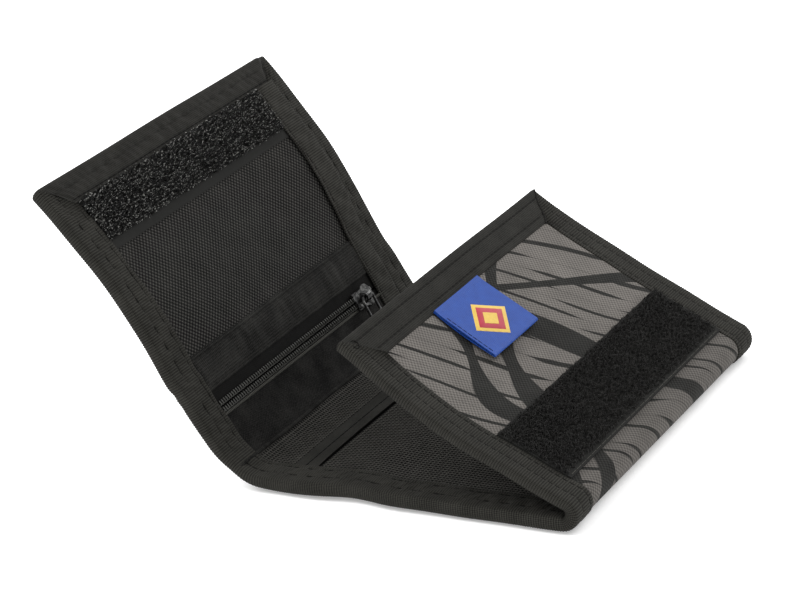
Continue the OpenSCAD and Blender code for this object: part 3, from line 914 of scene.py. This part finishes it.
def mouth_high(L, y):
    a = part(L, mouth)
    seam = groove(L - mouth[0][0], y, MOUTH_SEAMS, 2.4)
    slack = 0.15 + 0.25 * exp(-((y + 15) / 22) ** 2)
    free = ease((a - 0.55) / 0.45) * slack * ease((WINDOW - np.abs(y)) / 6)
    return mouth[1][2] + 0.05 + free - seam


shape = Shape("pocket_mouth_tape")
slab(shape, spaced(mouth[0][0], mouth[1][0], 0.25), across(0.8), lambda L, y: mouth_high(L, y) - 0.42,
     mouth_high, pulled)
for row in MOUTH_SEAMS:
    sew(shape, mouth[0][0] + row, lambda L, y: mouth_high(L, y) + 0.08, (-WINDOW - 1, WINDOW))
ride(shape.make([END_TAPE, THREAD]), "middle_panel", "grosgrain", "pocket_mouth_tape")

line_y = across(0.8)
shape = Shape("crease_hem")
hem_L = HEM_AT + 0.12 * sin(line_y / 6)
tubes(shape, joined(hem_L, pulled(HEM_AT, line_y), hem[1][2] - 0.45), 0.6, sides=10)
ride(shape.make([RIBBON]), "left_spine", "grosgrain", "crease_hem")

# ---- hook tape and loop tape
rng = np.random.default_rng(11)
tape = flat("hook_tape")
field = flat("hook_field")
node_sheet("hook_tape", HOOK_TAPE, "left_panel", "hook_loop", BEHIND_LEG)
HOOK = ((0, -0.1), (0.03, 0.85), (0.3, 1.2), (0.58, 0.85))
LOOP = ((-0.5, -0.1), (-0.45, 0.6), (0, 1.0), (0.45, 0.6), (0.5, -0.1))


def crooks(shape, base, sign, count, profile, scale, radius, low, high, sides, jitter, bend=None):
    """Many small curved filaments: profile holds (sideways, up) points."""
    ranges = (low[0], high[0]), (low[1], high[1]), (0, 2 * pi), (1 - jitter, 1 + jitter)
    x, y, turn, size = (rng.uniform(a, b, (count, 1)) for a, b in ranges)
    size = scale * size
    side, up = np.array(profile).T
    px, py = x + cos(turn) * side * size, y + sin(turn) * side * size
    if bend:
        py = bend(px, py)
    wobble = rng.normal(0, 0.05, (3, count, len(side)))[:2]      # none of it goes into the height
    paths = joined(px + wobble[0], py + wobble[1], base + sign * up * size)
    tubes(shape, paths, radius, sides, ref=(0.31, 0.27, 0.91))


shape = Shape("hook_field")
crooks(shape, tape[1][2], 1, 6400, HOOK, 1.1, 0.085, (field[0][0], -WINDOW), (field[1][0], WINDOW), 4, 0.15,
       pulled)
ride(shape.make([HOOKS_WITH_PAINTED_GLINTS]), "left_panel", "hook_loop", "hook_field")

loop_tape = flat("loop_tape")
low, high = flat("loop_pile")
node_sheet("loop_tape", HOOK_TAPE, "right_flap", "hook_loop", BEHIND_LEG, bend=None, dz=(0.15, 0.3))
shape = Shape("loop_pile")
low[0], high[0] = run(low[0]), run(high[0])
crooks(shape, loop_tape[0][2] + 0.2, -1, 7200, LOOP, 0.85, 0.11, low, high, 3, 0.35)
sew(shape, run(loop_tape[0][0]) + 0.6, level(loop_tape[0][2] + 0.12), (-WINDOW, WINDOW), None, 1.5, 0.15)
ride(shape.make([PILE, PIPING]), "right_flap", "hook_loop", "loop_pile")

# ---- zip
COIL_PITCH, POINTS_PER_TURN = 1.05, 14
for name, side in (("zip_coil_upper", -1), ("zip_coil_lower", 1)):
    low, high = flat(name)
    low[1] = 0.1 - WINDOW
    length = high[1] - low[1]
    turns = length / COIL_PITCH
    t = np.linspace(0, 1, int(turns * POINTS_PER_TURN))
    phase = 2 * pi * turns * t
    coil_L, _, coil_z = (low + high) / 2
    r_L, r_z = (high[0] - low[0]) / 2 + 0.05, (high[2] - low[2]) / 2 - 0.2
    path_y = low[1] + length * t + 0.12 * sin(2 * phase)
    path_L, path_z = coil_L + side * 0.05 + r_L * cos(phase), coil_z + r_z * sin(phase)
    shape = Shape(name)
    tubes(shape, joined(path_L, path_y, path_z), 0.2, ref=(0, 1, 0))
    tubes(shape, joined(coil_L, spaced(low[1], high[1], 2.0), coil_z - 0.15), 0.3, sides=6, mark=1)
    ride(shape.make([COIL, THREAD]), "left_panel", "zip_coil", name)


def prism(shape, outline, z0, z1, bevel):
    """A closed plate with chamfered rims; outline is in L and y."""
    outline = np.asarray(outline, float)
    centre = outline.mean(0)
    small = centre + (outline - centre) * (1 - bevel / np.abs(outline - centre).max())
    rings = [(small, z0), (outline, z0 + bevel), (outline, z1 - bevel), (small, z1)]
    points = np.concatenate([np.column_stack([o, np.full(len(o), z)]) for o, z in rings])
    m = len(outline)
    caps = np.stack([np.arange(m)[::-1], 3 * m + np.arange(m)])
    shape.add(points, [grid_faces(4, m, wrap=True), caps])


def box_outline(x0, x1, y0, y1, r, n=5):
    """A rectangle with round corners."""
    points = []
    corners = (x1 - r, y1 - r), (x0 + r, y1 - r), (x0 + r, y0 + r), (x1 - r, y0 + r)
    for start, (cx, cy) in enumerate(corners):
        a = (start + np.linspace(0, 1, n)) * pi / 2
        points += list(zip(cx + r * cos(a), cy + r * sin(a)))
    return points


stops = flat("zip_stops")
upper, lower = flat("zip_coil_upper"), flat("zip_coil_lower")
shape = Shape("zip_stops")
box_stop = box_outline(stops[0][0], stops[1][0], stops[0][1] - 2.2, stops[0][1] - 0.2, 0.4)
prism(shape, box_stop, stops[0][2], stops[0][2] + 0.3, 0.1)
for coil in (upper, lower):
    prism(shape, box_outline(coil[0][0], coil[1][0], coil[1][1] + 0.03, stops[1][1], 0.25),
          stops[0][2], stops[1][2], 0.15)
ride(shape.make([METAL]), "left_panel", "gunmetal", "zip_stops")

low, high = flat("zip_piping")
shape = Shape("zip_piping")
pipe_L, _, pipe_z = (low + high) / 2
tubes(shape, joined(pipe_L, pulled(pipe_L, line_y), pipe_z), 0.42, sides=8)
ride(shape.make([PIPING]), "left_panel", "grosgrain", "zip_piping")

# ---- slider and pull
body_low, body_high = flat("slider_body")
pull_low, pull_high = flat("slider_pull")
zip_L, zip_y, _ = (body_low + body_high) / 2
half_w, half_l, _ = (body_high - body_low) / 2
over = upper[1][2] + 0.15
ring_z = (pull_low[2] + pull_high[2]) / 2


def shield(scale=1.0):
    """The slider's plate: round and wide at the mouth, waisted, narrower at the tail."""
    t = np.linspace(-1, 1, 19)
    half = half_w * np.interp(t, [-1, -0.92, -0.5, 0.0, 0.35, 0.7, 0.9, 1.0],
                              [0.42, 0.62, 0.7, 0.78, 1.0, 0.92, 0.6, 0.25])
    right = np.column_stack([zip_L + half * scale, zip_y + t * half_l * scale])
    return np.concatenate([right, (right * (-1, 1) + (2 * zip_L, 0))[::-1]])


shape = Shape("slider_body")
prism(shape, shield(), over, over + 0.65, 0.18)
prism(shape, shield(0.62), over + 0.6, over + 0.85, 0.12)
prism(shape, shield(), body_low[2], body_low[2] + 0.6, 0.18)
for side in (-1, 1):
    x = zip_L + side * half_w * 0.66
    flange = box_outline(x - 0.3, x + 0.3, zip_y - half_l * 0.9, zip_y + half_l * 0.25, 0.2)
    prism(shape, flange, over - 0.75, over + 0.1, 0.08)
divider = box_outline(zip_L - 0.13, zip_L + 0.13, zip_y - half_l * 0.9, zip_y + half_l * 0.9, 0.1, 3)
prism(shape, divider, body_low[2] + 0.5, over + 0.1, 0.04)
arch = np.linspace(0, pi, 13)
arch_z = over + 0.5 + (body_high[2] - over - 0.75) * sin(arch) ** 0.8
for shift in (-0.95, -0.35, 0.25, 0.85):
    tubes(shape, joined(zip_L + 1.45 * cos(arch), zip_y + shift, arch_z), 0.36, sides=8, ref=(0, 1, 0))
ride(shape.make([METAL], sharp=35), "slider", "gunmetal", "slider_body")

shape = Shape("slider_pull")
y0, y1 = pull_low[1] + 0.45, pull_high[1] - 0.45
x0, x1 = pull_low[0] + 0.5, pull_high[0] - 0.5
ring_L, ring_y = np.array(box_outline(x0, x1, y0, y1, 1.1, 7)).T
tubes(shape, joined(ring_L, ring_y, ring_z), 0.52, sides=8, closed=True, flatten=0.8)
tip = box_outline(x1 - 0.75, x1 + 0.45, y0 + 0.3, y1 - 0.3, 0.5)
prism(shape, tip, ring_z - 0.5, ring_z + 0.5, 0.15)
ride(shape.make([METAL], sharp=35), "pull", "gunmetal", "slider_pull")

# ---- label
low, high = flat("woven_label")
ROOT = 1.35                 # from the label's hinge to where the end binding covers it
OFFSET = 1.3                # in the photo it reaches this much further in and lies this much nearer
LABEL_T = 0.17              # half of the tape's thickness
LABEL_RISE = 0.9            # how far the free end stands off
GAP = 0.44                  # between the middle lines of the tape's two layers
TUCK = 0.45                 # room for the fold at the free end
sewn, free, label_z = run(high[0]) - ROOT, run(low[0]) - OFFSET, high[2]
label_ys = low[1] - OFFSET, high[1] - OFFSET
back = np.linspace(0, 1, 16)
rise = LABEL_RISE * back ** 1.6 - 0.2 * (1 - back)


def label_path():
    """The folded tape's middle line: out under, round the fold, and back over."""
    under = np.stack([sewn + (free + TUCK - sewn) * back, label_z - GAP / 2 - rise], 1)
    a = np.linspace(0, pi, 7)[1:-1]
    fold_z = label_z - GAP / 2 - rise[-1] - 0.42 * (1 - cos(a)) / 2
    fold = np.stack([free + TUCK - 0.42 * sin(a), fold_z], 1)
    over = np.stack([under[::-1, 0], under[::-1, 1] - GAP - 0.3 * sin(pi * back)], 1)
    return np.concatenate([under, fold, over])


path = label_path()
tangent = unit(np.gradient(path, axis=0))
normal = np.stack([tangent[:, 1], -tangent[:, 0]], 1)
section = np.concatenate([path + normal * LABEL_T, (path - normal * LABEL_T)[::-1]])
ys = spaced(*label_ys, 0.8)
m = len(section)
arc = np.concatenate([[0], np.cumsum(np.hypot(*np.diff(section, axis=0).T))])
uv = np.stack([np.tile(arc, len(ys)), np.repeat(ys, m)], 1)
shape = Shape("woven_label")
shape.add(joined(section[:, 0], ys[:, None], section[:, 1]), loft_faces(len(ys), m), uv=uv)
top_side = path[-len(back):]


def on_label(L, y, off=0.0):
    return joined(L, y, np.interp(L, top_side[:, 0], top_side[:, 1]) - LABEL_T - off)


stitch_row(shape, (free + 0.5, sewn), lambda q: on_label(q, label_ys[0] + 0.9, 0.02), 1.6, 0.11)
label_piece = ride(shape.make([LABEL, THREAD]), "label", "label", "woven_label")

root = sheet("label_root", spaced(sewn + 0.02, sewn + ROOT + 0.4, 0.4), ys, level(path[-1, 1] - LABEL_T),
             level(path[0, 1] + LABEL_T), LABEL, bend=None)
ride(root, "right_flap", "label")

shape = Shape("label_patch")
centre = np.array([(free + sewn) / 2 - 0.5, sum(label_ys) / 2])


def patch(size_L, size_y, off, mark):
    """A generic rhombus, woven on the label; off is its height."""
    a = np.arange(4) * pi / 2
    corners = np.stack([cos(a) * size_L, sin(a) * size_y], 1)
    steps = np.linspace(0, 1, 6)[:-1, None]
    rim = np.concatenate([corner + (after - corner) * steps
                          for corner, after in zip(corners, np.roll(corners, -1, 0))])
    rings = ((1.0, -0.12), (1.0, -0.05), (0.96, off), (0.5, off), (0.02, off))
    points = np.concatenate([on_label(*(centre + rim * scale).T, height) for scale, height in rings])
    k = len(rim)
    caps = np.arange(4 * k, 5 * k)[None], np.arange(k)[None, ::-1]
    shape.add(points, [grid_faces(5, k, wrap=True), *caps], mark=mark)


patch(6.3, 8.4, 0.10, 0)
patch(4.9, 6.5, 0.18, 1)
patch(2.6, 3.5, 0.26, 0)
ride(shape.make([GOLD, RED], sharp=60), "label", "label")

# ---- floor, light and camera
bpy.ops.mesh.primitive_plane_add(size=6, location=(0, 0, -0.0006))
floor = bpy.context.object
floor.name = "floor"
ground = bpy.data.materials.new("floor")
ground.use_nodes = True
ground_shader = ground.node_tree.nodes["Principled BSDF"]
for socket, value in (("Base Color", (0.93, 0.93, 0.93, 1)), ("Roughness", 0.9),
                      ("Specular IOR Level", 0.1), ("Emission Color", (1, 1, 1, 1)),
                      ("Emission Strength", 0.3)):
    ground_shader.inputs[socket].default_value = value
floor.data.materials.append(ground)

world = bpy.data.worlds.new("studio")
world.use_nodes = True
background = world.node_tree.nodes["Background"].inputs
background[0].default_value, background[1].default_value = (1, 1, 1, 1), 0.85
bpy.context.scene.world = world


def area_light(name, at, towards, size, power):
    data = bpy.data.lights.new(name, "AREA")
    data.size, data.energy = size, power
    lamp = new_object(name, data)
    lamp.location = at
    lamp.rotation_mode = "QUATERNION"
    lamp.rotation_quaternion = (Vector(towards) - Vector(at)).to_track_quat("-Z", "Y")


area_light("key", (-0.65, -0.2, 0.75), (0, 0, 0.02), 0.5, 7.0)
area_light("back", (0.35, 0.75, 0.6), (0, 0, 0.02), 0.5, 5.0)

camera_data = bpy.data.cameras.new("camera")
camera = new_object("camera", camera_data)
CAMERA_AT = Vector((0.35478, -0.62912, 0.3255))
CAMERA_BACK = Vector((0.48243, -0.79425, 0.36936)).normalized()
CAMERA_ROLL = math.radians(7.132)
level_right = CAMERA_BACK.cross(Vector((0, 0, 1))).normalized() * -1
level_up = CAMERA_BACK.cross(level_right)
right = level_right * math.cos(CAMERA_ROLL) - level_up * math.sin(CAMERA_ROLL)
up = CAMERA_BACK.cross(right)
camera.matrix_world = Matrix((right, up, CAMERA_BACK)).transposed().to_4x4()
camera.location = CAMERA_AT
camera_data.lens = 130.13
camera_data.clip_start, camera_data.clip_end = 0.01, 20
bpy.context.scene.camera = camera
bpy.context.scene.view_settings.view_transform = "Standard"
